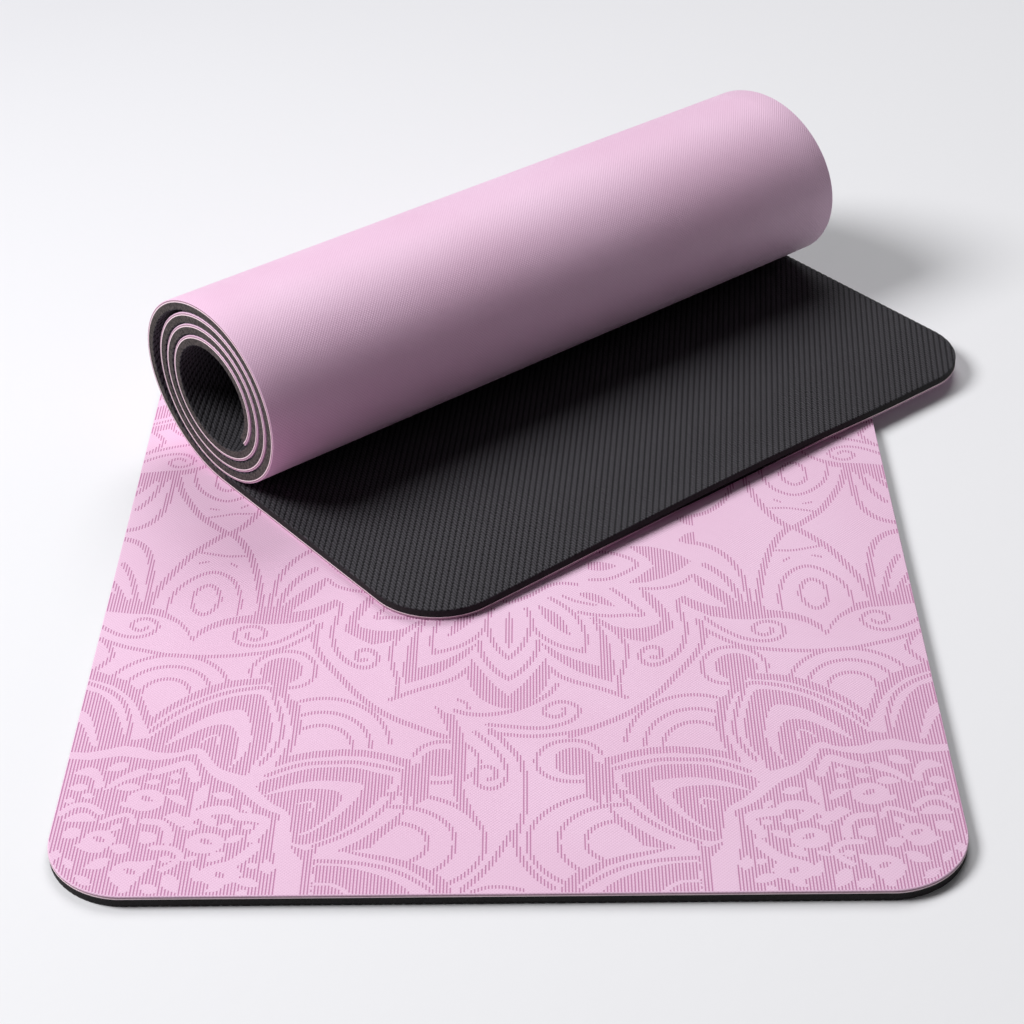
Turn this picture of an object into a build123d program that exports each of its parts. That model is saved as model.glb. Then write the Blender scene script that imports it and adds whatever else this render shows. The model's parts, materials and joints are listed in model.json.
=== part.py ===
"""A pair of exercise mats: one lies flat, the other is rolled up on top of it with its end left out.

Both mats are the same laminate: a ribbed rubber base, a thin textile interlayer (scrim) and a
polyurethane skin. X runs along the axis of the roll, Z is up, and the origin is the centre of the
flat mat's underside. Each sheet is one flexible piece, so where it bends it is cut at straight bend
lines into strips, each of which turns on the one before it.
"""
from build123d import *
from math import cos, pi, radians, sin, sqrt
import os

# The laminate, in millimetres, from the underside of the flat mat upwards
rubber_thickness = 6.5
scrim_thickness = 0.8
skin_thickness = 1.7
mat_thickness = rubber_thickness + scrim_thickness + skin_thickness

# The two mats
mat_width = 610.0
flat_length = 762.0
rolled_length = 1830.0
corner_radius = 58.0

# How the rolled mat lies on the flat one
mat_turn = 39.0          # degrees between the flat mat's width and the roll's axis
roll_end_x = -120.0      # the end of the roll that shows its spiral
roll_contact_y = 225.0   # the line where the outer layer leaves the flat mat
rest_gap = 0.3           # between the two mats, and between the wraps where they touch

# The roll: a spiral a little wider than it is high, whose outer layer sags away on one side
flap_length = 274.0      # the flat end that is left out, measured from the contact line
core_radius = 40.0       # the hole, before it settles into an oval
roll_oval = 0.21         # how much the radius swings between top and sides
outer_slack = 9.0        # how far the loose outer layer stands out
arc_step = 22.5          # degrees turned by each arc of the spiral

# The bend lines
first_flap_bend = 24.0   # from the contact line
flap_strip_count = 6
edge_strip_count = 3
edge_strip_length = 50.0

# What follows from them
wrap_pitch = (mat_thickness + rest_gap) / (1 - roll_oval / 3)
rest_height = mat_thickness + rest_gap
flap_strip_length = (flap_length - first_flap_bend) / flap_strip_count
coiled_length = rolled_length - flap_length
core_middle = core_radius + mat_thickness / 2
coil_middle = sqrt(core_middle**2 + wrap_pitch * (coiled_length - outer_slack * pi / 2) / pi)

# Each layer's name, and how far its two faces lie from the skin's outer face
layers = {
    "skin": (0.0, skin_thickness),
    "scrim": (skin_thickness, skin_thickness + scrim_thickness),
    "rubber": (skin_thickness + scrim_thickness, mat_thickness),
}
strip_letters = "abcdefghijklmnopqrstuvwxyz"


def spiral_radius(turned):
    """Radius of the skin's outer face after the spiral has turned so far, in radians."""
    round_radius = coil_middle + mat_thickness / 2 - wrap_pitch * turned / (2 * pi)
    radius = round_radius * (1 + roll_oval * cos(2 * turned))
    if turned < pi:
        radius += outer_slack / 2 * (1 + 3 * cos(2 * turned))
    return radius


def spiral_arcs(depth):
    """Start, middle and end (y, z) of every arc, at a depth below the skin's outer face.

    Arc follows arc until the coiled part of the mat is used up, measured at half its thickness.
    """
    arcs = []
    y, z, turned, left = roll_contact_y, rest_height, 0.0, coiled_length
    while left > mat_thickness / 2:
        radius = spiral_radius(turned + radians(arc_step) / 2)
        step = min(radians(arc_step), left / (radius - mat_thickness / 2))
        centre_y, centre_z = y - radius * sin(turned), z + radius * cos(turned)
        points = []
        for angle in (turned, turned + step / 2, turned + step):
            reach = radius - depth
            points.append((centre_y + reach * sin(angle), centre_z - reach * cos(angle)))
        arcs.append(points)
        left -= step * (radius - mat_thickness / 2)
        turned += step
        y = centre_y + radius * sin(turned)
        z = centre_z - radius * cos(turned)
    return arcs


def spiral_edges(depth):
    """The flat lead-in from the first bend line, then the spiral, as edges in the YZ plane."""
    arcs = spiral_arcs(depth)
    lead_in = (roll_contact_y - first_flap_bend, rest_height + depth)
    edges = [Edge.make_line((0, *lead_in), (0, *arcs[0][0]))]
    for start, middle, end in arcs:
        edges.append(Edge.make_three_point_arc((0, *start), (0, *middle), (0, *end)))
    return edges


def roll_layer(outer_depth, inner_depth):
    """One layer of the coiled part of the mat, over its whole width."""
    outside, inside = spiral_edges(outer_depth), spiral_edges(inner_depth)
    start_cap = Edge.make_line(outside[0] @ 0, inside[0] @ 0)
    end_cap = Edge.make_line(outside[-1] @ 1, inside[-1] @ 1)
    section = make_face(Wire(outside + inside + [start_cap, end_cap]))
    return Pos(roll_end_x, 0, 0) * extrude(section, mat_width, dir=(1, 0, 0))


def strip_layer(plan, low, high, centre_y, length):
    """The part of a sheet's plan that lies in one strip, as a slab from low to high."""
    strip = plan & (Pos(0, centre_y) * Rectangle(2 * mat_width, length))
    return Pos(0, 0, low) * extrude(strip, high - low)


def flat_mat():
    """The mat on the floor, front edge towards its own -Y: its body and the strips in front."""
    pieces = {}
    plan = RectangleRounded(mat_width, flat_length, corner_radius)
    front = -flat_length / 2
    bends = edge_strip_count * edge_strip_length
    spans = {"flat_mat": (front + bends, -front)}
    for index in range(edge_strip_count):
        outer = front + bends - (index + 1) * edge_strip_length
        spans["edge_" + strip_letters[index]] = (outer, outer + edge_strip_length)
    for span, (start, end) in spans.items():
        for layer, (shallow, deep) in layers.items():
            low, high = mat_thickness - deep, mat_thickness - shallow
            slab = strip_layer(plan, low, high, (start + end) / 2, end - start)
            pieces[span + "_" + layer] = Rot(0, 0, -mat_turn) * slab
    return pieces


def rolled_mat():
    """The mat on top of it, skin side down: its coil and the strips of its free end."""
    pieces = {}
    for layer, (shallow, deep) in layers.items():
        pieces["roll_" + layer] = roll_layer(shallow, deep)
    middle_x = roll_end_x + mat_width / 2
    plan = RectangleRounded(mat_width, 2 * flap_length, corner_radius)
    for index in range(flap_strip_count):
        centre = first_flap_bend + (index + 0.5) * flap_strip_length
        for layer, (shallow, deep) in layers.items():
            slab = strip_layer(plan, shallow, deep, -centre, flap_strip_length)
            name = "flap_" + strip_letters[index] + "_" + layer
            pieces[name] = Pos(middle_x, roll_contact_y, rest_height) * slab
    return pieces


def main():
    os.makedirs("parts", exist_ok=True)
    for name, piece in {**flat_mat(), **rolled_mat()}.items():
        export_step(piece, "parts/" + name + ".step")


if __name__ == "__main__":
    main()
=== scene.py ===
import json
from math import cos, hypot, pi, radians, sin, sqrt, tan

import bmesh
import bpy
import numpy as np
from mathutils import Matrix, Vector


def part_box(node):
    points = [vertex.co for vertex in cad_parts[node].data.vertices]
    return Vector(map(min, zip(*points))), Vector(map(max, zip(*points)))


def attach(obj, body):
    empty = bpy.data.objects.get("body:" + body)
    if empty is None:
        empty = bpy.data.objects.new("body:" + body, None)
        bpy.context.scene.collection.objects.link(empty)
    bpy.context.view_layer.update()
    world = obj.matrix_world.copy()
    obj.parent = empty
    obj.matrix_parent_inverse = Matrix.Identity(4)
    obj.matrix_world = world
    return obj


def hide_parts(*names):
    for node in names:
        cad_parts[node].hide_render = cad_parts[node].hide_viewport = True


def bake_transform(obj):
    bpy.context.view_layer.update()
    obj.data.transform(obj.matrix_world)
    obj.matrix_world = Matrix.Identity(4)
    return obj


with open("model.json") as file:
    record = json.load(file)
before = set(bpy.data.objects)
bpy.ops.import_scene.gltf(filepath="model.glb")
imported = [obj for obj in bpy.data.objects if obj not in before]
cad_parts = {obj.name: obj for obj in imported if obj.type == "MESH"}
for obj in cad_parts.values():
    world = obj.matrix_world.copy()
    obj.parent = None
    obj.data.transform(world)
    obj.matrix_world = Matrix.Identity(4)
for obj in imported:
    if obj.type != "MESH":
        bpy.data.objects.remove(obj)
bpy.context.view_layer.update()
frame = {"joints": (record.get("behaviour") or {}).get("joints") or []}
scene = bpy.context.scene
joints = {j["name"]: j for j in frame["joints"]}


# camera
camera = {
    "place": (-0.8917, -1.1457, 1.0442),
    "lens": 80.35,
    "sensor": 36.0,
    "clip": (0.05, 60.0),
    # degrees: about Z from looking along +Y, down from level, and about the line of sight
    "heading": -37.98,
    "lookDown": 34.55,
    "roll": -1.21,
}


def addCamera():
    data = bpy.data.cameras.new("viewCamera")
    data.lens, data.sensor_width = camera["lens"], camera["sensor"]
    data.clip_start, data.clip_end = camera["clip"]
    eye = bpy.data.objects.new("viewCamera", data)
    turn = Matrix.Rotation(radians(camera["heading"]), 4, "Z")
    tilt = Matrix.Rotation(radians(90 - camera["lookDown"]), 4, "X")
    roll = Matrix.Rotation(radians(camera["roll"]), 4, "Z")
    eye.matrix_world = Matrix.Translation(camera["place"]) @ turn @ tilt @ roll
    scene.collection.objects.link(eye)
    scene.camera = eye


addCamera()
print("camera set")


# The sheets, all lengths in metres. Each is made flat, with its own X across the mat and Y along it,
# then turned or rolled into place. The rolled mat lies on the flat one, skin to skin.
sheets = {
    "width": 0.610,
    "flatLength": 0.762,
    "rolledLength": 1.830,
    "corner": 0.058,
    "cornerSteps": 16,
    "turn": -39.0,          # degrees, the flat mat on the floor
    "rollEnd": -0.120,      # X of the roll's near end
    "rollContact": 0.225,   # Y where the coil begins
    "flapLength": 0.274,
    "rim": 0.0007,          # how far the edges are rounded
    "rimSteps": 3,
    "scrimInset": -0.0002,
    "spare": 0.005,         # how far a sheet is made past its outline before it is trimmed
    "sideBand": 0.002,      # points of the rim this near to a side go outward with it
    "plainColumns": 12,     # on each side of the middle line
    "plainReach": 1.01,     # how far they go, in half widths
    # between two rows of points
    "rollStep": 0.006,
    "bendStep": 0.012,
    "flatStep": 0.024,
    # half the length of a bend; the first one is tight, because the sheet lies on something there
    "tightBend": 0.007,
    "bend": 0.020,
    "bendSteps": 5,
    # degrees between two faces that still shade as one
    "smoothAngle": 35,
    "skinSmoothAngle": 12,
}
layers = ("skin", "scrim", "rubber")
halfWidth, flatFront = sheets["width"] / 2, -sheets["flatLength"] / 2


def levelsOf(body):
    return {layer: tuple(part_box(body + "_" + layer)[k].z for k in (0, 1)) for layer in layers}


flatLevels, rolledLevels = levelsOf("flat_mat"), levelsOf("flap_c")
matThickness = flatLevels["skin"][1]
rollBase = rolledLevels["skin"][0]


# the ribbed underside: diagonal ribs with a narrow groove between them
ribs = {
    "pitch": 0.00476,
    "lean": 43.6,           # degrees from the mat's length
    "grooveDepth": 0.00045,
    "profile": ((0.0, -1.0), (0.27, 0.0), (0.73, 0.0)),   # share of the pitch, share of the depth
}


def ribColumns(low, high):
    period = ribs["pitch"] / cos(radians(ribs["lean"]))
    columns = []
    for k in range(int(low / period) - 1, int(high / period) + 2):
        for share, height in ribs["profile"]:
            columns.append(((k + share) * period, height * ribs["grooveDepth"]))
    return columns


def gridSheet(columns, rows, slant=0.0):
    # a grid through the given columns (place, height) and rows; slant moves each row sideways by its own Y
    bm = bmesh.new()
    bmesh.ops.create_grid(bm, x_segments=len(columns) - 1, y_segments=len(rows) - 1, size=1.0)
    for vert in bm.verts:
        across, height = columns[round((vert.co.x + 1) / 2 * (len(columns) - 1))]
        along = rows[round((vert.co.y + 1) / 2 * (len(rows) - 1))]
        vert.co = (across + slant * along, along, height)
    return bm


def cutAway(bm, point, normal):
    geometry = bm.verts[:] + bm.edges[:] + bm.faces[:]
    bmesh.ops.bisect_plane(bm, geom=geometry, dist=1e-7, plane_co=point, plane_no=normal, clear_outer=True)


def cutAcross(bm, faces, along):
    # a straight cut through these faces at that place along the sheet; gives the faces it leaves
    edges = {e for f in faces for e in f.edges}
    verts = {v for f in faces for v in f.verts}
    made = bmesh.ops.bisect_plane(bm, geom=[*verts, *edges, *faces], dist=1e-7,
                                  plane_co=(0, along, 0), plane_no=(0, 1, 0))
    return [g for g in made["geom"] if isinstance(g, bmesh.types.BMFace)]


def outlineOf(middle, low, high, roundLow, roundHigh):
    # the ends: way out, place, whether its corners are round
    return {"middle": middle, "ends": ((-1, low, roundLow), (1, high, roundHigh))}


def trimToOutline(bm, outline, inset):
    half = halfWidth - inset
    cutAway(bm, (outline["middle"] + half, 0, 0), (1, 0, 0))
    cutAway(bm, (outline["middle"] - half, 0, 0), (-1, 0, 0))
    for way, end, rounded in outline["ends"]:
        edge = end - (way * inset if rounded else 0)
        cutAway(bm, (0, edge, 0), (0, way, 0))
        radius = sheets["corner"] - inset
        for side in (-1, 1) if rounded else ():
            centre = Vector((outline["middle"] + side * (half - radius), edge - way * radius, 0))
            for step in range(1, sheets["cornerSteps"]):
                angle = pi / 2 * step / sheets["cornerSteps"]
                normal = Vector((side * cos(angle), way * sin(angle), 0))
                cutAway(bm, centre + radius * normal, normal)


def outwardAt(point, outline):
    # the way out of the sheet at a point of its rim; none on a straight cut
    radius = sheets["corner"]
    x = point.x - outline["middle"]
    reach = halfWidth - radius
    away = Vector((x - max(-reach, min(reach, x)), 0, 0))
    for way, end, rounded in outline["ends"]:
        past = point.y - (end - way * radius)
        if rounded and way * past > 0:
            away.y = past
    if not away.y and abs(x) < halfWidth - sheets["sideBand"]:
        return Vector((0, 0, 0))
    return away.normalized()


def closeSlab(bm, outline, level, farLevel, rim, rows):
    # the open face gets its level, then a rounded edge, side walls and the face behind it, cut at the rows
    fall = 1 if farLevel > level else -1
    for vert in bm.verts:
        vert.co.z = level - fall * vert.co.z
    quarter = [pi / 2 * k / sheets["rimSteps"] for k in range(1, sheets["rimSteps"] + 1)]
    steps = [(rim * sin(a), rim * (1 - cos(a))) for a in quarter] if rim else []
    steps.append((rim, abs(farLevel - level)))
    done = (0.0, 0.0)
    for reach, drop in steps:
        made = bmesh.ops.extrude_edge_only(bm, edges=[e for e in bm.edges if e.is_boundary])
        for item in made["geom"]:
            if isinstance(item, bmesh.types.BMVert):
                item.co += outwardAt(item.co, outline) * (reach - done[0])
                item.co.z += fall * (drop - done[1])
            elif isinstance(item, bmesh.types.BMFace):
                item.material_index = 0 if reach > done[0] else 1
        done = (reach, drop)
    behind = [e for e in bm.edges if e.is_boundary]
    for vert in {v for e in behind for v in e.verts}:
        vert.co.z = farLevel
    back = bmesh.ops.holes_fill(bm, edges=behind, sides=0)["faces"][0]
    back.material_index = 0
    for along in rows:
        back = max(cutAcross(bm, [back], along), key=lambda f: f.calc_center_median().y)
    bmesh.ops.recalc_face_normals(bm, faces=bm.faces[:])


# Finishes. Every pattern follows flatPlace, the place a point has in its sheet while that lies flat.
def fromRgb(red, green, blue):
    linear = [c / 255 / 12.92 if c <= 10 else ((c / 255 + 0.055) / 1.055) ** 2.4 for c in (red, green, blue)]
    return (*linear, 1.0)


class Finish:
    def __init__(self, name):
        self.material = bpy.data.materials.new(name)
        self.material.use_nodes = True
        self.tree = self.material.node_tree
        self.shader = self.tree.nodes["Principled BSDF"]
        self.place = self.add("Attribute", attribute_name="flatPlace").outputs["Vector"]

    def add(self, kind, inputs=None, **settings):
        node = self.tree.nodes.new("ShaderNode" + kind)
        for key, value in settings.items():
            setattr(node, key, value)
        for key, value in (inputs or {}).items():
            self.put(node.inputs[key], value)
        return node

    def put(self, socket, value):
        if isinstance(value, bpy.types.NodeSocket):
            self.tree.links.new(value, socket)
        else:
            socket.default_value = value

    def math(self, operation, *values, clamp=False):
        node = self.add("Math", operation=operation, use_clamp=clamp)
        for socket, value in zip(node.inputs, values):
            self.put(socket, value)
        return node.outputs[0]

    def spread(self, value, low, high, newLow=0.0, newHigh=1.0, smooth=True):
        kind = "SMOOTHSTEP" if smooth else "LINEAR"
        ends = {"Value": value, "From Min": low, "From Max": high, "To Min": newLow, "To Max": newHigh}
        return self.add("MapRange", ends, interpolation_type=kind).outputs["Result"]

    def mix(self, share, *colors):
        first, second = [fromRgb(*c) if isinstance(c, tuple) else c for c in colors]
        return self.add("Mix", {0: share, 6: first, 7: second}, data_type="RGBA").outputs[2]

    def noise(self, scale, detail, roughness=0.5, vector=None):
        inputs = {"Vector": vector or self.place, "Scale": scale, "Detail": detail, "Roughness": roughness}
        return self.add("TexNoise", inputs).outputs["Fac"]

    def parts(self):
        split = self.add("SeparateXYZ", {"Vector": self.place})
        return split.outputs["X"], split.outputs["Y"]

    def along(self, towardX, towardY):
        # how far a point lies along a direction, in the measure that the two numbers give
        x, y = self.parts()
        return self.math("ADD", self.math("MULTIPLY", x, towardX), self.math("MULTIPLY", y, towardY))

    def waves(self, turn):
        # hills and hollows both ways across the sheet, turn radians for each metre
        rises = [self.math("SINE", self.math("MULTIPLY", part, turn)) for part in self.parts()]
        return self.math("MULTIPLY", *rises)

    def bump(self, height, distance):
        return self.add("Bump", {"Height": height, "Distance": distance}).outputs["Normal"]

    def finish(self, color, look, height, roughness=None):
        self.put(self.shader.inputs["Base Color"], color)
        self.put(self.shader.inputs["Roughness"], roughness or look["roughness"])
        self.put(self.shader.inputs["Specular IOR Level"], look.get("specular", 0.5))
        self.put(self.shader.inputs["Normal"], self.bump(height, look["depth"]))
        return self.material


noiseTurn = (0.3, 0.7)    # a noise goes from one look to the other between these heights

skinLook = {
    "color": (239, 199, 227),
    "deepColor": (235, 192, 221),
    "cloudScale": 7.0,
    # the embossed grain: between two of its pebbles, and the colour of the painted shade that its hollows
    # take a share of
    "grainPitch": 0.0019,
    "hollowShadeColor": (206, 152, 186),
    "hollowShadeTurn": (-0.1, -0.8, 0.0, 0.3),
    "fineScale": 1400.0,
    "fineShare": 0.8,
    "roughness": (0.42, 0.52),
    "depth": 0.0001,
    "sheen": 0.2,
    "sheenRoughness": 0.5,
}


def skinFinish(look):
    f = Finish("pinkSkin")
    clouds = f.noise(look["cloudScale"], detail=3.0)
    pebbles = f.waves(pi * sqrt(2) / look["grainPitch"])
    fine = f.noise(look["fineScale"], detail=2.0)
    color = f.mix(f.spread(clouds, *noiseTurn), look["deepColor"], look["color"])
    # the hollows of the grain are painted darker: painted shade
    color = f.mix(f.spread(pebbles, *look["hollowShadeTurn"]), color, look["hollowShadeColor"])
    f.put(f.shader.inputs["Sheen Weight"], look["sheen"])
    f.put(f.shader.inputs["Sheen Roughness"], look["sheenRoughness"])
    height = f.math("ADD", f.math("MULTIPLY", fine, look["fineShare"]), pebbles)
    return f.finish(color, look, height, f.spread(fine, *noiseTurn, *look["roughness"]))


# the pressed strokes: a darker pink, painted as the shade in their grooves
engravedShadeLook = {
    "colors": ((187, 119, 163), (203, 139, 180)),
    "turn": (0.3, 0.75),
    "scale": 1700.0,
    "detail": 3.0,
    "roughness": 0.62,
    "depth": 0.00004,
}
# the skin's cut edges: a mauve darker than its face, painted as the shade of side walls turned from the lamps
skinCutShadeLook = {
    "colors": ((152, 114, 133), (180, 142, 160)),
    "turn": noiseTurn,
    "scale": 900.0,
    "detail": 4.0,
    "roughness": 0.66,
    "depth": 0.00008,
}


def mottledFinish(name, look):
    f = Finish(name)
    mottle = f.noise(look["scale"], look["detail"])
    return f.finish(f.mix(f.spread(mottle, *look["turn"]), *look["colors"]), look, mottle)


scrimLook = {
    "colors": ((244, 216, 226), (253, 234, 240)),
    "turn": (0.25, 0.75),
    "fuzzScale": 2400.0,
    "threadTurn": 9000.0,
    "threadShare": 0.4,
    "roughness": 0.85,
    "depth": 0.00012,
    "specular": 0.25,
}


def scrimFinish(look):
    f = Finish("scrim")
    threads = f.waves(look["threadTurn"])
    fuzz = f.noise(look["fuzzScale"], detail=4.0)
    height = f.math("ADD", f.math("MULTIPLY", threads, look["threadShare"]), fuzz)
    return f.finish(f.mix(f.spread(fuzz, *look["turn"]), *look["colors"]), look, height)


rubberLook = {
    "color": (82, 80, 85),
    "darkColor": (60, 58, 63),
    "grooveShadeColor": (14, 13, 16),
    "grooveTurn": (0.26, 0.46),    # in rib pitches from the top of a rib, where the painted groove shade comes in
    "grooveShade": 0.42,
    # dashes along the ribs: how far one falls back across a rib and strays, in dash pitches, and how much
    # painted shade the gap between two takes on top of a rib, and how much more in a groove
    "dashPitch": 0.0038,
    "dashLean": 1.5,
    "dashStray": 1.2,
    "strayScale": 160.0,
    "gapTurn": (0.10, 0.24),
    "gapShade": (0.5, 0.45),
    "grainScale": 1500.0,
    "grainShare": 0.2,
    "roughness": 0.72,
    "depth": 0.00012,
    "specular": 0.15,
}


def rubberFinish(look):
    f = Finish("ribbedRubber")
    lean = radians(ribs["lean"])
    across = f.along(cos(lean) / ribs["pitch"], -sin(lean) / ribs["pitch"])        # 0.5 on top of a rib
    along = f.along(sin(lean) / look["dashPitch"], cos(lean) / look["dashPitch"])
    share = f.math("SUBTRACT", f.math("FRACT", across), 0.5)
    groove = f.spread(f.math("ABSOLUTE", share), *look["grooveTurn"])
    wander = f.math("SUBTRACT", f.noise(look["strayScale"], detail=1.0), 0.5)
    stray = f.math("MULTIPLY", wander, look["dashStray"])
    turned = f.math("ADD", f.math("ADD", along, stray), f.math("MULTIPLY", share, look["dashLean"]))
    dash = f.math("ABSOLUTE", f.math("SUBTRACT", f.math("FRACT", turned), 0.5))
    gap = f.spread(dash, *look["gapTurn"])
    grain = f.noise(look["grainScale"], detail=4.0)
    color = f.mix(f.spread(grain, *noiseTurn), look["darkColor"], look["color"])
    # painted shade: the grooves and the gaps between the dashes are painted darker
    onTop, more = look["gapShade"]
    gapShade = f.math("MULTIPLY", gap, f.math("ADD", f.math("MULTIPLY", groove, more), onTop))
    shade = f.math("ADD", f.math("MULTIPLY", groove, look["grooveShade"]), gapShade, clamp=True)
    height = f.math("SUBTRACT", f.math("MULTIPLY", grain, look["grainShare"]), gap)
    return f.finish(f.mix(shade, color, look["grooveShadeColor"]), look, height)


# one cut rubber in two tones: the long sides painted darker as their shade, the roll's cut end painted
# lighter as lit
rubberCutLook = {
    "rubberSideShaded": ((30, 28, 29), (42, 40, 41)),
    "rubberRollEndLit": ((36, 32, 32), (92, 84, 82)),
    "mottleScale": 520.0,
    "poreScale": 900.0,
    "poreColor": (20, 19, 19),
    "poreTurn": (0.0, 0.35, 0.7, 0.0),
    "roughness": 0.82,
    "depth": 0.0002,
    "specular": 0.25,
}


def rubberCutFinish(name, look):
    f = Finish(name)
    pores = f.add("TexVoronoi", {"Vector": f.place, "Scale": look["poreScale"]}).outputs["Distance"]
    mottle = f.noise(look["mottleScale"], detail=4.0, roughness=0.7)
    color = f.mix(f.spread(mottle, *noiseTurn), *look[name])
    color = f.mix(f.spread(pores, *look["poreTurn"]), color, look["poreColor"])
    return f.finish(color, look, f.math("ADD", pores, mottle))


# by layer, with the roll's own rubber apart, its cut end painted lighter as lit: the faces, the cut edges and
# the engraving
finishes = {
    "skin": [skinFinish(skinLook), mottledFinish("skinCutEdgePaintedShade", skinCutShadeLook),
             mottledFinish("engravedSkinPaintedShade", engravedShadeLook)],
    "scrim": [scrimFinish(scrimLook), scrimFinish(scrimLook)],
    "rubber": [rubberFinish(rubberLook), rubberCutFinish("rubberSideShaded", rubberCutLook)],
}
finishes["rollRubber"] = [finishes["rubber"][0], rubberCutFinish("rubberRollEndLit", rubberCutLook)]
print("finishes made")


# The ornament, in millimetres: u to the side of the middle line, v from the front edge. It is drawn as
# hatched and plain places, then read off along evenly spaced strokes.
ornament = {
    "strokes": 135,          # on each side of the middle line
    "strokePitch": 2.25,
    "strokeWidth": 0.95,
    "depth": 0.12,
    "margin": 0.9,           # left plain round the rim
    "middle": 407.0,         # the pattern turns round here; its far half is a little shorter
    "sample": 0.6,           # along a stroke
    "shortest": 1.1,         # a shorter stroke is left out
    "shortestGap": 0.8,      # a shorter gap is closed
    "lineWidth": 3.8,
    "curveSteps": 8,         # between two points of a smooth line
    # how far round a line or a shape its depth is worked out, and the depth of everything else
    "lineReach": 2,
    "shapeReach": 3,
    "outside": -5.0,
}


def smoothLine(points, closed=False):
    p = np.array(points, float)
    if closed:
        p = np.vstack([p[-1], p, p[:2]])
    else:
        p = np.vstack([2 * p[0] - p[1], p, 2 * p[-1] - p[-2]])
    t = np.linspace(0, 1, ornament["curveSteps"], endpoint=False)[:, None]
    pieces = []
    for a, b, c, d in zip(p[:-3], p[1:-2], p[2:-1], p[3:]):
        square, cube = 2 * a - 5 * b + 4 * c - d, 3 * b - a - 3 * c + d
        pieces.append(0.5 * (2 * b + (c - a) * t + square * t**2 + cube * t**3))
    return np.vstack(pieces + [p[-2]])


class Drawing:
    # a grid of depths: how far inside a hatched place each point lies, below zero where it is plain
    def __init__(self):
        self.u = np.arange(ornament["strokes"] + 1) * ornament["strokePitch"]
        self.v = np.arange(0, ornament["middle"] + 0.5, ornament["sample"])
        self.ink = np.full((len(self.u), len(self.v)), ornament["outside"])

    def bothSides(self):
        self.u = np.concatenate([-self.u[:0:-1], self.u])
        self.ink = np.vstack([self.ink[:0:-1], self.ink])

    def draw(self, line, half=0.0, plain=False):
        # a line of that half width, or else the shape that the line goes round
        reach = half + ornament["lineReach"] if half else ornament["shapeReach"]
        low, high = line.min(0) - reach, line.max(0) + reach
        columns = slice(*np.searchsorted(self.u, (low[0], high[0])))
        rows = slice(*np.searchsorted(self.v, (low[1], high[1])))
        u, v = self.u[columns, None, None], self.v[None, rows, None]
        (startU, startV), (endU, endV) = line[:-1].T, line[1:].T
        du, dv = endU - startU, endV - startV
        t = np.clip(((u - startU) * du + (v - startV) * dv) / np.maximum(du * du + dv * dv, 1e-9), 0, 1)
        depth = np.hypot(u - startU - t * du, v - startV - t * dv).min(2)
        if half:
            depth = half - depth
        else:
            crosses = (startV > v) != (endV > v)
            with np.errstate(divide="ignore", invalid="ignore"):
                at = startU + (v - startV) * du / dv
            inside = (crosses & (u < at)).sum(2) % 2 == 1
            depth = np.where(inside, depth, -depth)
        ink = self.ink[columns, rows]
        self.ink[columns, rows] = np.minimum(ink, -depth) if plain else np.maximum(ink, depth)

    def line(self, points, width=ornament["lineWidth"], closed=False):
        self.draw(smoothLine(points, closed), width / 2)

    def shape(self, points):
        self.draw(smoothLine(points, True))

    def patch(self, points):
        # a shape with sharp corners
        self.draw(np.array(points + points[:1], float))

    def plainLine(self, points, width):
        self.draw(smoothLine(points), width / 2, plain=True)

    def plainShape(self, points):
        self.draw(smoothLine(points, True), plain=True)


def ring(u, v, reachU, reachV, start=0, end=360, steps=16):
    angles = np.linspace(radians(start), radians(end), steps, end < 360)
    return [(u + reachU * cos(a), v + reachV * sin(a)) for a in angles]


# a pointed leaf, wider towards its tip; bend moves its middle sideways
leafForm = {"steps": 8, "tipward": 1.2, "fullness": 0.8}


def leaf(base, tip, width, bend=0.0):
    length = hypot(tip[0] - base[0], tip[1] - base[1])
    along = ((tip[0] - base[0]) / length, (tip[1] - base[1]) / length)
    sides = ([], [])
    for k in range(leafForm["steps"] + 1):
        t = k / leafForm["steps"]
        half = width / 2 * sin(pi * t ** leafForm["tipward"]) ** leafForm["fullness"] if 0 < t < 1 else 0.0
        middle = bend * 4 * t * (1 - t)
        for side, way in zip(sides, (1, -1)):
            off = middle + way * half
            side.append((base[0] + along[0] * length * t - along[1] * off,
                         base[1] + along[1] * length * t + along[0] * off))
    return sides[0] + sides[1][-2:0:-1]


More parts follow.
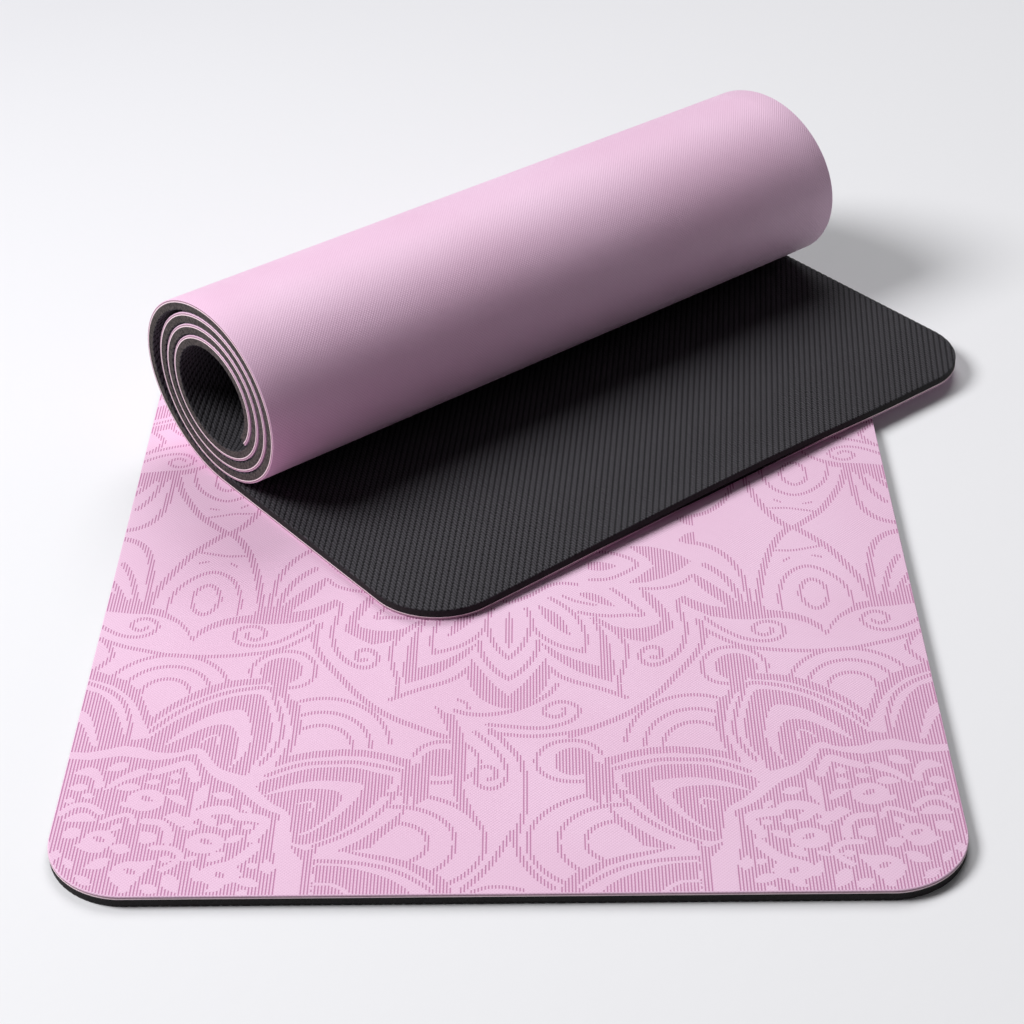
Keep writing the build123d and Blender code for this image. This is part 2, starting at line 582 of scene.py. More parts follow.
def cornerLace(d):
    # leaves and flowers left plain on a hatched ground
    d.patch([(308, 137), (290, 135), (280, 137), (268, 139), (258, 137), (245, 134), (232, 136), (222, 140),
        (216, 140), (212, 131), (205, 120), (198, 113), (188, 108), (180, 100), (173, 92), (166, 85),
        (158, 80), (152, 77), (155, 60), (153, 40), (150, 20), (149, -2), (308, -2)])
    leaves = [((277, 124), (261, 131), 9), ((300, 106), (286, 107), 8), ((268, 105), (250, 106), 8, -1),
        ((232, 117), (224, 117), 8), ((233, 106), (223, 107), 7), ((248, 111), (237, 112), 6),
        ((212, 81), (205, 109), 10), ((233, 98), (217, 87), 7, -2), ((201, 99), (186, 95), 8),
        ((297, 57), (284, 64), 11), ((287, 49), (266, 43), 11, -2), ((263, 48), (249, 43), 10),
        ((277, 27), (261, 36), 10, 1), ((245, 62), (232, 53), 12, 2), ((217, 64), (206, 67), 7),
        ((207, 76), (194, 66), 8, -1), ((194, 66), (182, 66), 7), ((178, 65), (169, 66), 6),
        ((188, 50), (175, 57), 7), ((229, 36), (220, 34), 7), ((213, 33), (203, 37), 5),
        ((198, 32), (186, 41), 8), ((179, 15), (160, 9), 8, -1), ((212, 3), (222, 21), 11, -1),
        ((206, 29), (201, 13), 7, -1), ((238, 11), (226, 4), 9), ((158, 34), (155, 20), 9),
        ((194, 4), (184, 12), 8), ((296, 45), (300, 35), 8), ((291, 37), (284, 26), 6),
        ((282, 21), (270, 11), 7), ((298, 97), (296, 90), 6), ((290, 99), (281, 97), 6),
        ((262, 92), (256, 86), 5), ((180, 88), (172, 80), 5), ((266, 62), (257, 70), 6),
        ((167, 5), (174, 2), 5), ((252, 4), (244, 9), 6), ((170, 30), (163, 26), 6)]
    for place in leaves:
        d.plainShape(leaf(*place))
    d.plainShape([(298, 121), (291, 127), (284, 126), (279, 119), (276, 108), (281, 105), (283, 113),
        (288, 118)])
    d.plainShape([(275, 104), (270, 113), (262, 120), (252, 126), (247, 122), (253, 117), (262, 113),
        (270, 106)])
    d.plainLine([(242, 122), (232, 126), (222, 130), (217, 122), (214, 114)], 7)
    d.plainLine([(301, 80), (293, 88), (283, 88), (274, 81)], 5)
    d.plainShape([(298, 73), (290, 80), (282, 80), (276, 73), (286, 72)])
    d.plainLine([(271, 72), (262, 77), (254, 78), (250, 70)], 4)
    d.plainLine([(243, 72), (232, 70), (226, 62), (225, 52)], 6)
    d.plainLine([(234, 46), (222, 45), (215, 38), (219, 30), (225, 25)], 5)
    d.plainLine([(181, 76), (168, 74), (162, 70), (165, 61), (169, 54)], 8)
    d.plainLine([(166, 46), (172, 38), (180, 30), (190, 26)], 8)
    d.plainShape([(230, 76), (222, 81), (217, 77), (208, 83), (195, 87), (183, 84), (184, 78), (195, 78),
        (205, 75), (213, 69), (218, 66), (223, 70)])
    d.plainShape([(258, 27), (250, 33), (240, 33), (230, 34), (234, 26), (238, 20), (243, 11), (250, 9),
        (258, 16)])
    for place in ((245, 93, 13, 11), (271, 54, 10.5, 9.5), (200, 50, 13, 10), (187, 20, 14, 10)):
        d.plainShape(ring(*place))
    for u, v in ((245, 94), (271, 54), (200, 51), (187, 19), (217, 78), (246, 23)):
        d.shape(leaf((u - 5, v - 2), (u + 4, v + 3), 5))


def edgeLeaf(d):
    # its other half would lie on the next repeat
    d.line([(308, 222), (292, 214), (282, 206), (275, 197), (270, 185), (267, 172), (266, 160)], 4)
    d.patch([(308, 214), (294, 208), (285, 198), (278, 185), (273, 172), (269, 159), (262, 156), (254, 158),
        (250, 150), (258, 148), (268, 150), (280, 146), (292, 143), (308, 144)])
    d.plainShape([(308, 190), (300, 186), (295, 178), (291, 166), (287, 151), (291, 151), (296, 163),
        (301, 173), (308, 181)])


def upperLeaf(d):
    d.line([(252, 165), (247, 171), (240, 180), (230, 190), (220, 198), (210, 204), (198, 209), (185, 212),
        (176, 213), (170, 210), (167, 200), (163, 188), (160, 175), (159, 160), (161, 149), (165, 139),
        (171, 129)], 4)
    d.shape([(250, 160), (240, 172), (228, 183), (215, 194), (200, 202), (188, 205), (178, 205), (173, 198),
        (169, 185), (166, 170), (166, 155), (169, 142), (175, 130), (179, 118), (188, 120), (198, 125),
        (205, 134), (211, 144), (219, 147), (226, 143), (236, 142), (248, 144), (256, 150)])
    d.plainShape([(240, 150), (230, 165), (220, 175), (210, 183), (200, 187), (190, 188), (185, 182),
        (181, 168), (180, 152), (184, 138), (192, 125), (188, 138), (187, 150), (190, 161), (194, 169),
        (201, 172), (208, 171), (216, 167), (224, 161), (232, 155)])
    d.plainLine([(214, 153), (210, 158), (204, 160), (202, 151)], 1.8)
    # the ground between this leaf and its neighbours
    d.shape([(168, 216), (160, 214), (156, 200), (150, 196), (147, 185), (146, 165), (148, 150), (155, 131),
        (161, 127), (157, 140), (153, 155), (153, 170), (156, 185), (162, 201)])


def lowerLeaf(d):
    d.patch([(161, 131), (150, 138), (135, 142), (115, 144), (100, 143), (85, 139), (73, 134), (66, 132),
        (64, 116), (64, 100), (68, 84), (76, 72), (88, 60), (98, 51), (114, 40), (98, 42), (90, 44), (84, 53),
        (73, 66), (70, 74), (69, 82), (71, 96), (72, 110), (70, 124), (85, 132), (100, 136), (115, 137),
        (135, 135), (150, 131), (160, 126)])
    d.plainLine([(74, 122), (76, 106), (80, 92), (88, 78), (98, 66), (112, 55), (128, 45)], 3.5)
    d.line([(165, 117), (158, 121), (150, 125), (138, 129), (120, 130), (105, 130), (92, 127), (80, 123),
        (71, 119), (72, 107), (76, 96), (83, 83), (91, 72), (100, 63), (112, 54), (127, 46)])
    d.shape([(168, 111), (158, 115), (150, 119), (135, 124), (118, 125), (104, 124), (90, 119), (78, 114),
        (80, 104), (86, 93), (93, 82), (101, 70), (110, 61), (121, 53), (133, 48), (142, 50), (144, 60),
        (146, 76), (151, 83), (158, 88), (166, 97), (171, 105)])
    d.plainShape([(165, 97), (156, 103), (145, 108), (132, 111), (118, 111), (104, 109), (99, 107), (100, 97),
        (106, 86), (114, 75), (123, 66), (133, 58), (140, 57), (130, 63), (122, 72), (116, 82), (112, 92),
        (114, 99), (122, 102), (136, 103), (150, 101)])
    d.plainLine([(141, 88), (133, 90), (130, 87), (134, 80)], 1.8)


def scallops(d):
    # three arcs each, over a thick ground
    d.patch([(308, 238), (290, 229), (278, 223), (268, 213), (262, 202), (257, 190), (253, 180), (247, 188),
        (240, 196), (232, 203), (224, 210), (214, 216), (202, 221), (190, 223), (174, 224), (174, 217),
        (190, 216), (203, 213), (215, 206), (228, 198), (238, 190), (247, 179), (254, 168), (259, 178),
        (263, 188), (268, 198), (276, 208), (286, 217), (297, 222), (308, 226)])
    for reach, start, end in ((18, 5, 172), (32.5, 28, 166), (46, 28, 162)):
        d.line(ring(247, 206, reach, reach, start, end, 14), 3.6)
    for reach, start, end in ((28, 62, 172), (42.5, 68, 175), (58, 72, 172)):
        d.line(ring(132, 142, reach * 0.87, reach, start, end, 14), 3.6)
    d.patch([(116, 44), (98, 40), (80, 36), (65, 31), (54, 25), (44, 18), (37, 10), (34, -2), (44, -2),
        (47, 8), (56, 17), (66, 25), (80, 31), (96, 36)])
    for reachU, reachV, start, end in ((24, 20, 96, 238), (42, 36, 88, 238), (62, 49, 80, 232)):
        d.line(ring(76, 48, reachU, reachV, start, end, 16), 3.8)


def discs(d):
    d.shape(ring(165, 232, 15.5, 15.5))
    d.line([(187, 226), (187, 236), (182, 246), (173, 253), (162, 255), (151, 252), (143, 243), (140, 231),
        (143, 220), (150, 214), (160, 212)], 3.6)
    d.patch([(175, 224), (160, 224), (159, 206), (166, 202), (170, 214)])
    d.shape(ring(46, 129, 14.5, 14.5))
    d.line([(65, 137), (60, 145), (52, 150), (43, 151), (33, 149), (25, 143), (20, 133), (21, 122), (27, 114),
        (37, 109), (50, 108), (60, 110)], 3.6)
    d.patch([(64, 128), (56, 128), (52, 112), (54, 92), (64, 84)])


def footArcs(d):
    d.patch([(133, 42), (144, 48), (140, 40), (134, 32), (134, -2), (126, -2), (126, 44)])
    d.line([(125, 32), (110, 31), (95, 29), (80, 25), (68, 19), (58, 12), (50, 5), (46, 0)], 3.6)
    d.patch([(126, 28), (110, 27), (98, 24), (85, 19), (75, 14), (65, 6), (60, -2), (98, -2), (104, 6),
        (112, 11), (126, 12)])
    d.patch([(126, 9), (115, 9), (108, 5), (102, -2), (126, -2)])


def curls(d):
    d.line([(146, 291), (152, 283), (160, 275), (170, 267), (180, 263), (190, 262), (199, 265), (204, 273),
        (202, 281), (196, 285), (188, 285), (182, 280), (182, 273), (188, 269), (194, 272), (194, 277)])
    d.line([(140, 288), (143, 279), (152, 270), (163, 261), (175, 255), (190, 252), (210, 250), (230, 250),
        (250, 252), (270, 258), (285, 263), (308, 274)], 4)
    d.line([(308, 290), (298, 282), (288, 276), (277, 274), (268, 277), (263, 284), (264, 291), (270, 296),
        (277, 296), (282, 291), (281, 285), (275, 282), (270, 286)])
    d.line([(302, 272), (295, 262), (292, 252), (296, 243), (303, 234)], 4.5)
    d.line([(142, 286), (144, 268), (139, 252), (130, 236), (120, 221), (110, 206), (100, 194), (90, 184),
        (78, 175), (66, 168), (54, 161), (44, 156)], 5)
    d.line([(132, 316), (127, 311), (127, 303), (130, 290), (131, 276), (129, 262), (124, 250), (116, 240),
        (107, 235), (99, 237), (96, 246), (100, 254), (107, 256), (112, 251), (110, 244), (105, 244)], 4.4)


def fans(d):
    # the ground that all of them grow from
    d.patch([(131, 319), (140, 312), (150, 306), (162, 303), (172, 306), (190, 312), (192, 300), (204, 298),
        (214, 295), (224, 289), (232, 281), (235, 271), (239, 283), (246, 293), (256, 302), (262, 308),
        (271, 310), (272, 326), (279, 318), (284, 326), (290, 320), (296, 324), (308, 334), (308, 307),
        (285, 303), (270, 302), (258, 297), (248, 290), (240, 279), (235, 267), (230, 275), (222, 283),
        (212, 288), (200, 290), (180, 288), (165, 289), (150, 293), (138, 302), (128, 312)])
    # long arcs that cross
    d.line([(187, 305), (189, 320), (192, 340), (197, 360), (203, 378), (211, 395), (222, 409), (233, 421)],
        6)
    d.line([(272, 316), (268, 335), (262, 350), (255, 365), (247, 380), (236, 394), (222, 409), (212, 418)],
        6)
    # leaves of the inner fan
    d.line([(181, 305), (180, 325), (178, 342), (173, 358), (166, 371), (157, 381), (148, 386), (138, 389)],
        4.8)
    d.line([(176, 305), (172, 322), (166, 338), (158, 350), (150, 358)], 5.6)
    d.shape([(176, 300), (168, 316), (157, 330), (147, 341), (140, 347), (141, 337), (149, 323), (160, 310),
        (166, 300)])
    d.line([(139, 344), (134, 337), (124, 331), (112, 328), (100, 328)], 3.6)
    # leaves of the outer fan
    d.line([(275, 312), (276, 335), (277, 355), (280, 374), (286, 388), (295, 397), (308, 402)], 5.6)
    d.line([(283, 312), (286, 330), (290, 346), (295, 358), (300, 367)], 5)
    d.line([(290, 312), (295, 324), (301, 336), (308, 347)], 5)
    # the eye between them
    d.line([(259, 305), (258, 318), (254, 332), (246, 344), (237, 352), (228, 355), (219, 351), (211, 342),
        (206, 329), (204, 315), (205, 301)])
    d.line([(230, 338), (238, 332), (241, 320), (238, 307), (231, 301), (224, 306), (220, 319), (223, 332)],
        4, True)
    d.line([(243, 382), (232, 379), (220, 376), (208, 376)], 2.8)
    d.line([(241, 367), (235, 369)], 2.6)
    d.line([(216, 366), (211, 362)], 2.6)


def lotus(d):
    # front petal
    d.patch([(-4, 187), (4, 187), (12, 191), (21, 199), (28, 213), (31, 229), (27, 244), (19, 229), (10, 213),
        (0, 201), (-4, 204)])
    d.line([(0, 220), (8, 228), (15, 239), (20, 251), (22, 264)], 4.6)
    d.line([(0, 244), (6, 252), (11, 262), (15, 276), (16, 291), (13, 304)], 4.2)
    d.patch([(-1, 256), (1, 256), (3, 266), (3, 290), (0, 300), (-3, 290)])
    # second petal
    d.line([(30, 232), (37, 223), (48, 216), (60, 211), (72, 205), (84, 198)], 4.2)
    d.line([(80, 204), (79, 216), (83, 230), (86, 245), (86, 258), (82, 269), (76, 280), (64, 291)], 4.2)
    d.patch([(76, 215), (62, 221), (50, 228), (40, 237), (30, 248), (22, 264), (30, 257), (38, 249),
        (48, 242), (58, 237), (66, 234), (66, 250), (67, 264), (65, 278), (60, 293), (68, 282), (73, 268),
        (76, 250), (77, 232)])
    d.line([(16, 285), (22, 273), (30, 264), (40, 257), (55, 251)], 4)
    d.line([(55, 251), (57, 265), (55, 280), (50, 294), (42, 306), (31, 317)], 4)
    d.shape([(22, 308), (28, 304), (36, 297), (42, 286), (45, 271), (36, 279), (29, 288), (24, 298)])
    # third petal
    d.patch([(123, 279), (112, 270), (101, 262), (90, 265), (78, 273), (64, 288), (76, 282), (88, 278),
        (100, 279), (112, 284), (113, 291), (108, 303), (101, 317), (99, 328), (107, 322), (114, 310),
        (120, 296)])
    d.line([(52, 299), (62, 296), (76, 294), (90, 295), (100, 295), (94, 306), (86, 318), (78, 328)])
    d.shape([(52, 322), (62, 323), (72, 316), (79, 306), (66, 311)])
    d.line([(40, 320), (50, 313), (64, 308)], 3)
    # side petal
    d.patch([(92, 384), (108, 383), (122, 378), (132, 371), (140, 363), (131, 352), (118, 342), (104, 336),
        (90, 335), (98, 343), (111, 357), (106, 368), (98, 376)])
    d.line([(62, 340), (76, 341), (90, 350), (98, 359), (92, 368), (78, 375), (64, 377)])
    d.shape([(60, 362), (70, 363), (82, 358), (72, 352), (60, 354)])
    d.patch([(146, 384), (146, 403), (138, 400), (130, 390), (138, 388)])
    # round middle
    middle = ornament["middle"]
    d.line([(0, 341), (18, 346), (36, 357), (48, 373), (54, 392), (55, 410)], 4.4)
    for turned in (0, 30, 60, 90):
        a = radians(turned)
        d.shape(leaf((14 * sin(a), middle - 16 * cos(a)), (40 * sin(a), middle - 52 * cos(a)), 15))
        d.plainShape(leaf((17 * sin(a), middle - 20 * cos(a)), (33 * sin(a), middle - 43 * cos(a)), 5))
    d.shape(ring(0, middle, 8, 9.5))
    d.line([(0, 312), (12, 318), (22, 326), (30, 333), (40, 336), (52, 334)])


def middleStems(d):
    # the two sides differ here
    d.patch([(-54, 192), (-50, 183), (-44, 168), (-40, 152), (-38, 140), (-38, 104), (-36, 94), (-32, 84),
        (-26, 74), (-20, 64), (-15, 62), (-22, 78), (-27, 92), (-30, 104), (-28, 118), (-28, 140), (-30, 156),
        (-34, 168), (-38, 180), (-45, 183), (-49, 188)])
    d.line([(-23, 161), (-15, 151), (-8, 140), (-3, 130), (0, 118), (-2, 108), (-8, 102), (-15, 102),
        (-21, 107), (-22, 116), (-19, 123), (-13, 124), (-8, 120), (-8, 113), (-13, 111)])
    d.line([(-12, 163), (-5, 154), (0, 146), (6, 137), (10, 126), (12, 112), (13, 95), (12, 80), (9, 66),
        (6, 52), (8, 38), (13, 26), (21, 14), (30, 5)], 4.6)
    d.line([(-29, 3), (-18, 16), (-9, 30), (-2, 45), (4, 58)], 4.6)
    d.line([(-22, 2), (-12, 6), (0, 6), (12, 3)], 3.2)
    d.line([(-14, 169), (0, 167), (15, 165), (26, 165), (36, 168), (45, 173), (50, 181), (49, 188), (42, 193),
        (34, 193), (27, 188), (25, 182), (29, 178), (35, 177), (40, 181), (40, 186)])
    d.line([(-38, 185), (-28, 181), (-15, 180), (0, 183), (12, 189), (22, 196), (30, 204), (35, 213)], 4.2)
    d.line([(-13, 160), (0, 158), (15, 156), (30, 157), (45, 160), (60, 165)])
    d.line([(-36, 197), (-30, 193), (-28, 187)], 3)


motifs = (cornerLace, edgeLeaf, upperLeaf, lowerLeaf, scallops, discs, footArcs, curls, fans, lotus)


def insideRim(u, v):
    # how far a place lies inside the sheet's outline
    radius, width, length = (1000 * sheets[key] for key in ("corner", "width", "flatLength"))
    overU = abs(u) - (width / 2 - radius)
    overV = np.abs(v - length / 2) - (length / 2 - radius)
    outside = np.hypot(np.maximum(overU, 0), np.maximum(overV, 0))
    return radius - outside - np.minimum(np.maximum(overU, overV), 0)


def engravedStrokes():
    # start and end of each stroke, for every column; the far half mirrors the near one
    d = Drawing()
    for motif in motifs:
        motif(d)
    d.bothSides()
    middleStems(d)
    length, middle = 1000 * sheets["flatLength"], ornament["middle"]
    shrink = (length - middle) / middle
    place = np.concatenate([d.v, middle + (middle - d.v[-2::-1]) * shrink])
    strokes = {}
    for column, u in enumerate(d.u):
        ink = np.concatenate([d.ink[column], d.ink[column][-2::-1]])
        ink = np.minimum(ink, insideRim(u, place) - ornament["margin"])
        inked = ink > 0
        found = []
        for k in np.nonzero(inked[:-1] != inked[1:])[0]:
            found.append(float(place[k] + (place[k + 1] - place[k]) * ink[k] / (ink[k] - ink[k + 1])))
        merged = []
        for start, end in zip(found[::2], found[1::2]):
            if merged and start - merged[-1][1] < ornament["shortestGap"]:
                merged[-1] = (merged[-1][0], end)
            else:
                merged.append((start, end))
        strokes[column - ornament["strokes"]] = [s for s in merged if s[1] - s[0] > ornament["shortest"]]
    return strokes


# the roll: arc follows arc, as the mat is wound on to itself
spiral = {"coreRadius": 0.040, "oval": 0.21, "slack": 0.009, "arcStep": 22.5, "gap": 0.0003}


def spiralArcs():
    # (radius, angle turned, centre Y, centre Z, length used before it), by the mat's mid thickness
    pitch = (matThickness + spiral["gap"]) / (1 - spiral["oval"] / 3)
    coiled = sheets["rolledLength"] - sheets["flapLength"]
    core = spiral["coreRadius"] + matThickness / 2
    coil = sqrt(core**2 + pitch * (coiled - spiral["slack"] * pi / 2) / pi)
    y, z, turned, used = sheets["rollContact"], rollBase, 0.0, 0.0
    arcs = []
    while coiled - used > matThickness / 2:
        middle = turned + radians(spiral["arcStep"]) / 2
        evenRadius = coil + matThickness / 2 - pitch * middle / (2 * pi)
        radius = evenRadius * (1 + spiral["oval"] * cos(2 * middle))
        if middle < pi:
            radius += spiral["slack"] / 2 * (1 + 3 * cos(2 * middle))
        step = min(radians(spiral["arcStep"]), (coiled - used) / (radius - matThickness / 2))
        centreY, centreZ = y - radius * sin(turned), z + radius * cos(turned)
        arcs.append((radius, turned, centreY, centreZ, used))
        used += step * (radius - matThickness / 2)
        turned += step
        y, z = centreY + radius * sin(turned), centreZ - radius * cos(turned)
    return arcs, used


arcs, coiledLength = spiralArcs()


def rollUp(points):
    # winds the part of the flat sheet that lies past the contact line
    wound = points.copy()
    past = points[:, 1] - sheets["rollContact"]
    used = np.array([a[4] for a in arcs])
    for k in np.nonzero(past > 0)[0]:
        radius, turned, centreY, centreZ, before = arcs[np.searchsorted(used, past[k], side="right") - 1]
        angle = turned + (past[k] - before) / (radius - matThickness / 2)
        reach = radius - (points[k, 2] - rollBase)
        wound[k, 1] = centreY + reach * sin(angle)
        wound[k, 2] = centreZ - reach * cos(angle)
    return wound


def turnFlat(points):
    angle = radians(sheets["turn"])
    x, y = points[:, 0].copy(), points[:, 1].copy()
    return np.column_stack([x * cos(angle) - y * sin(angle), x * sin(angle) + y * cos(angle), points[:, 2]])


# the flap's lip: how high it stands, how deep it is, and between which shares of the width it comes and goes
flapLift = {"height": 0.004, "depth": 0.037, "rise": (0.08, 0.50), "fall": (0.56, 0.84)}


def eased(values, low, high):
    share = np.clip((values - low) / (high - low), 0, 1)
    return share * share * (3 - 2 * share)


def liftEnd(points):
    # the flap's free edge curls up a little between its corners
    lifted = points.copy()
    across = (points[:, 0] - sheets["rollEnd"]) / sheets["width"]
    fromEdge = points[:, 1] - sheets["rollContact"] + sheets["flapLength"]
    along = np.clip(1 - fromEdge / flapLift["depth"], 0, 1) ** 2
    bow = eased(across, *flapLift["rise"]) * (1 - eased(across, *flapLift["fall"]))
    lifted[:, 2] += flapLift["height"] * along * bow
    return lifted


def layInPlace(bm, name, looks, place, smoothAngle=sheets["smoothAngle"]):
    # the flat place of every point is kept, and the patterns of the materials follow it
    mesh = bpy.data.meshes.new(name)
    bm.to_mesh(mesh)
    bm.free()
    points = np.zeros(len(mesh.vertices) * 3)
    mesh.vertices.foreach_get("co", points)
    points = points.reshape(-1, 3)
    flat = mesh.attributes.new("flatPlace", "FLOAT_VECTOR", "POINT")
    flat.data.foreach_set("vector", points.astype(np.float32).ravel())
    mesh.vertices.foreach_set("co", place(points).astype(np.float32).ravel())
    for look in looks:
        mesh.materials.append(look)
    mesh.shade_smooth()
    mesh.set_sharp_from_angle(angle=radians(smoothAngle))
    mesh.update()
    piece = bpy.data.objects.new(name, mesh)
    scene.collection.objects.link(piece)
    return piece


def takesPlaceOf(piece, layer, body, bend=None):
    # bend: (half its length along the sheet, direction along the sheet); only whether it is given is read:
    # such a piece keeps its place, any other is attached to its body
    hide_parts(body + "_" + layer)
    if bend:
        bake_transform(piece)
    else:
        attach(piece, body)


# where each sheet is cut into pieces: the rigid part, then one strip round every bend line
def stripsOf(sheet, letters, end, turn=0.0):
    # (letter, low, high, bend line) of each strip, from the rigid part to the sheet's end
    toSheet = Matrix.Rotation(-radians(turn), 3, "Z")
    lines = [(toSheet @ Vector(joints["bend_" + sheet + "_" + letter]["pos_m"])).y for letter in letters]
    half = (lines[0] - lines[1]) / 2
    stops = [line + half for line in lines] + [end]
    return list(zip(letters, stops[1:], stops[:-1], lines))


def bendHalf(letter):
    return sheets["tightBend" if letter == "a" else "bend"]


def spaced(low, high, step, exact=()):
    # evenly spaced rows from low to high that also pass through the exact places
    stops = [low] + sorted(e for e in exact if low < e < high) + [high]
    rows = []
    for a, b in zip(stops[:-1], stops[1:]):
        count = max(1, round((b - a) / step))
        rows += [a + (b - a) * k / count for k in range(count)]
    return rows + [high]


def bendRows(letter, line):
    half = bendHalf(letter)
    return spaced(line - half, line + half, half / sheets["bendSteps"])


def engravedFace():
    # the whole outer face of the flat mat with its strokes pressed in, lying at level zero
    strokes = engravedStrokes()
    pitch, stroke = ornament["strokePitch"] / 1000, ornament["strokeWidth"] / 1000
    sides = sorted(i * pitch + way * stroke / 2 for i in strokes for way in (-1, 1))
    reach = halfWidth + sheets["spare"]
    ends = flatFront - sheets["spare"], sheets["spare"] - flatFront
    bm = gridSheet([(x, 0.0) for x in [-reach] + sides + [reach]], ends)
    trimToOutline(bm, outlineOf(0.0, flatFront, -flatFront, True, True), sheets["rim"])
    # the long edge on each side of a stroke, by its place in thousandths of the pitch
    walls = {}
    for edge in bm.edges:
        a, b = (vert.co for vert in edge.verts)
        if abs(a.x - b.x) < 1e-7 and abs(a.y - b.y) > halfWidth:
            walls[round(a.x / pitch * 1000)] = edge
    pressed = []
    for i, spans in strokes.items():
        pairs = []
        for way in (-1, 1):
            edge = walls[round((i * pitch + way * stroke / 2) / pitch * 1000)]
            points = []
            for along in [flatFront + s / 1000 for span in spans for s in span]:
                low, high = sorted(edge.verts, key=lambda v: v.co.y)
                share = (along - low.co.y) / (high.co.y - low.co.y)
                points.append(bmesh.utils.edge_split(edge, low, share)[1])
            pairs.append(points)
        for left, right in zip(*pairs):
            shared = [f for f in left.link_faces if f in right.link_faces]
            bmesh.utils.face_split(shared[0], left, right)
        for k in range(0, len(pairs[0]), 2):
            corners = {pairs[0][k], pairs[1][k], pairs[0][k + 1], pairs[1][k + 1]}
            pressed += [f for f in pairs[0][k].link_faces if corners <= set(f.verts)]
    made = bmesh.ops.extrude_discrete_faces(bm, faces=pressed)
    for face in made["faces"]:
        for vert in face.verts:
            vert.co.z = -ornament["depth"] / 1000
            # the floors and walls of the pressed strokes take the engraved finish, painted darker as their
            # shade
            for wall in vert.link_faces:
                wall.material_index = 2
    print("engraved strokes:", len(made["faces"]))
    return bm


def makeLayer(layer, outline, face, far, rows, slices):
    # one layer of a sheet, from its outer face (or the underside of the rubber) to the face behind it
    middle = outline["middle"]
    if layer == "rubber":
        slant, reach = tan(radians(ribs["lean"])), halfWidth + sheets["spare"]
        columns = ribColumns(middle - reach - slant * rows[-1], middle + reach - slant * rows[0])
        bm = gridSheet(columns, rows, slant)
    else:
        count = sheets["plainColumns"]
        step = halfWidth * sheets["plainReach"] / count
        bm = gridSheet([(middle + step * k, 0.0) for k in range(-count, count + 1)], rows)
    rim = 0.0 if layer == "scrim" else sheets["rim"]
    trimToOutline(bm, outline, rim or sheets["scrimInset"])
    closeSlab(bm, outline, face, far, rim, slices)
    return bm


def rolledMat():
    # skin side down
    middle = sheets["rollEnd"] + halfWidth
    rolledFar = sheets["rollContact"] + coiledLength
    strips = stripsOf("flap", "abcdef", sheets["rollContact"] - sheets["flapLength"])
    root = strips[0][2]
    for layer in layers:
        face, far = rolledLevels[layer][::-1] if layer == "rubber" else rolledLevels[layer]
        rows = spaced(root, rolledFar, sheets["rollStep"], [sheets["rollContact"]])
        bm = makeLayer(layer, outlineOf(middle, root, rolledFar, False, False), face, far, rows, rows[1:-1])
        name = "roll" + layer.capitalize()
        piece = layInPlace(bm, name, finishes.get(name, finishes[layer]), rollUp)
        takesPlaceOf(piece, layer, "roll")
        for letter, low, high, line in strips:
            slices = bendRows(letter, line)
            rows = spaced(low, high, sheets["bendStep"], slices)
            outline = outlineOf(middle, low, high, letter == strips[-1][0], False)
            bm = makeLayer(layer, outline, face, far, rows, slices)
            name = "flap" + layer.capitalize() + letter.upper()
            piece = layInPlace(bm, name, finishes[layer], liftEnd)
            takesPlaceOf(piece, layer, "flap_" + letter, (bendHalf(letter), (0, -1, 0)))
    print("rolled mat made")


def flatMat():
    strips = stripsOf("edge", "abc", flatFront, sheets["turn"])
    toFront = Matrix.Rotation(radians(sheets["turn"]), 3, "Z") @ Vector((0, -1, 0))
    whole = engravedFace()
    for letter, low, high, line in [("", strips[0][2], -flatFront, None)] + strips:
        start, body = ("edge", "edge_" + letter) if letter else ("flat", "flat_mat")
        outline = outlineOf(0.0, low, high, letter == strips[-1][0], not letter)
        slices = bendRows(letter, line) if letter else []
        rows = spaced(low, high, sheets["bendStep" if letter else "flatStep"], slices)
        for layer in layers:
            face, far = flatLevels[layer] if layer == "rubber" else flatLevels[layer][::-1]
            if layer == "skin":
                bm = whole.copy()
                cutAway(bm, (0, low, 0), (0, -1, 0))
                cutAway(bm, (0, high, 0), (0, 1, 0))
                for along in slices:
                    cutAcross(bm, bm.faces[:], along)
                closeSlab(bm, outline, face, far, sheets["rim"], slices)
            else:
                bm = makeLayer(layer, outline, face, far, rows, slices)
            smoothAngle = sheets["skinSmoothAngle" if layer == "skin" else "smoothAngle"]
            name = start + layer.capitalize() + letter.upper()
            piece = layInPlace(bm, name, finishes[layer], turnFlat, smoothAngle)
            takesPlaceOf(piece, layer, body, (bendHalf(letter), toFront) if letter else None)
    whole.free()
    print("flat mat made")


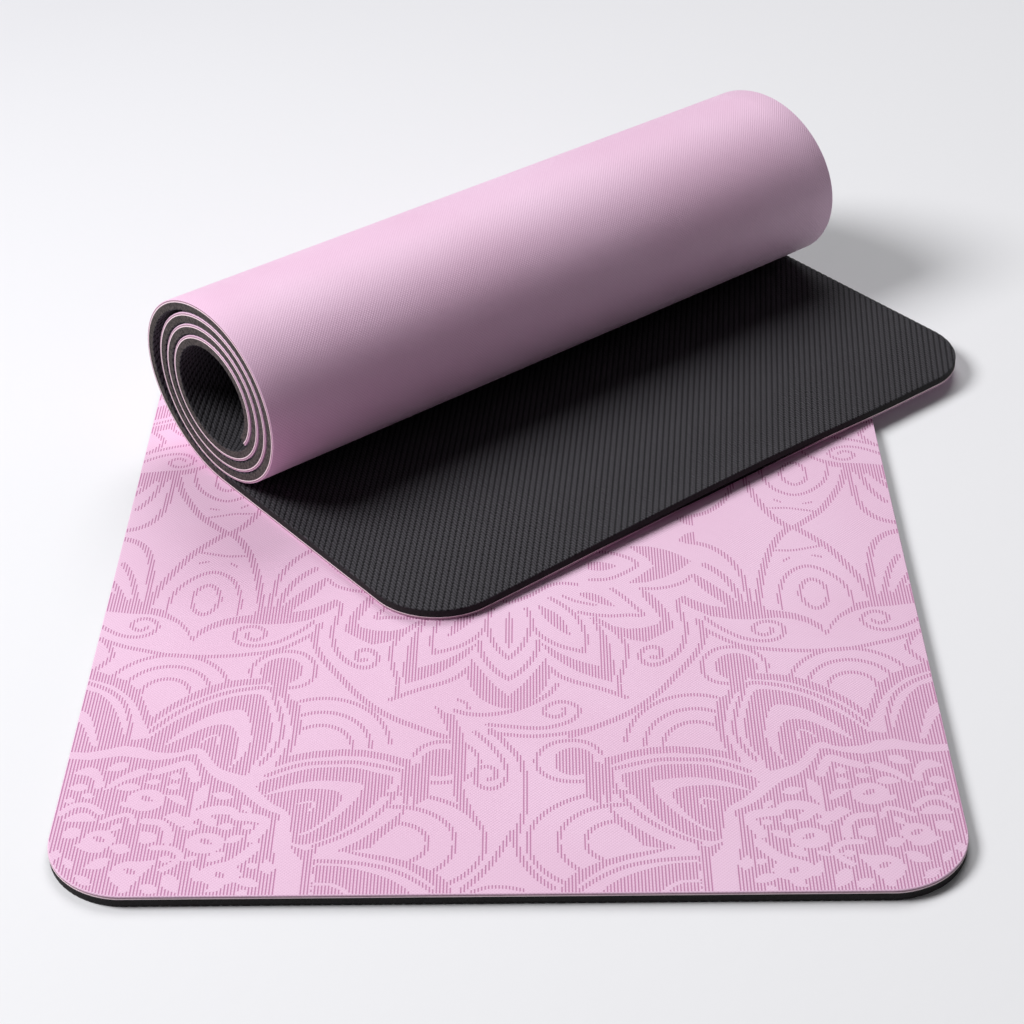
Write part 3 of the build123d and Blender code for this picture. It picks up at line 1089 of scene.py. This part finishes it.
# floor and light
floorLook = {
    "half": 9.0,
    # painted shade: the floor is painted darker away to the back, on the key lamp's side, which evens out
    # that lamp's pool of light on it; along this bearing (degrees) and between these places (m)
    "color": (248, 248, 251),
    "deepColor": (218, 218, 222),
    "bearing": 115,
    "turn": (-0.6, 1.0),
    "grainScale": 60.0,
    "roughness": 0.9,
    "depth": 0.0001,
    "specular": 0.2,
}
# bearing and height in degrees, distance and size in metres, power in watts
lamps = {
    "keyLight": {"bearing": 140, "height": 47, "distance": 3.2, "size": 1.5, "power": 95.5},
    "sideLight": {"bearing": 47, "height": 51, "distance": 5.0, "size": 3.2, "power": 104},
}
fillLight = 0.088


def addFloor(look):
    bm = bmesh.new()
    bmesh.ops.create_grid(bm, x_segments=1, y_segments=1, size=look["half"])
    mesh = bpy.data.meshes.new("floor")
    bm.to_mesh(mesh)
    bm.free()
    floor = bpy.data.objects.new("floor", mesh)
    scene.collection.objects.link(floor)
    f = Finish("paleFloor")
    place = f.add("TexCoord").outputs["Object"]
    bearing = radians(look["bearing"])
    toBack = f.add("VectorMath", {0: place, 1: (cos(bearing), sin(bearing), 0.0)}, operation="DOT_PRODUCT")
    # the floor's painted shade, deepening towards the back
    share = f.spread(toBack.outputs["Value"], *look["turn"], smooth=False)
    color = f.mix(share, look["color"], look["deepColor"])
    mesh.materials.append(f.finish(color, look, f.noise(look["grainScale"], detail=2.0, vector=place)))


def addLamp(name, look):
    light = bpy.data.lights.new(name, "AREA")
    light.shape, light.size = "DISK", look["size"]
    light.energy = look["power"]
    lamp = bpy.data.objects.new(name, light)
    bearing, height = radians(look["bearing"]), radians(look["height"])
    toward = Vector((cos(bearing) * cos(height), sin(bearing) * cos(height), sin(height)))
    facing = toward.to_track_quat("Z", "Y").to_matrix().to_4x4()
    lamp.matrix_world = Matrix.Translation(toward * look["distance"]) @ facing
    scene.collection.objects.link(lamp)


def addFill():
    world = bpy.data.worlds.new("studio")
    world.use_nodes = True
    background = world.node_tree.nodes["Background"]
    background.inputs["Color"].default_value = (1, 1, 1, 1)
    background.inputs["Strength"].default_value = fillLight
    scene.world = world


rolledMat()
flatMat()
addFloor(floorLook)
for name, look in lamps.items():
    addLamp(name, look)
addFill()
scene.view_settings.view_transform = "Standard"
print("floor and light set")
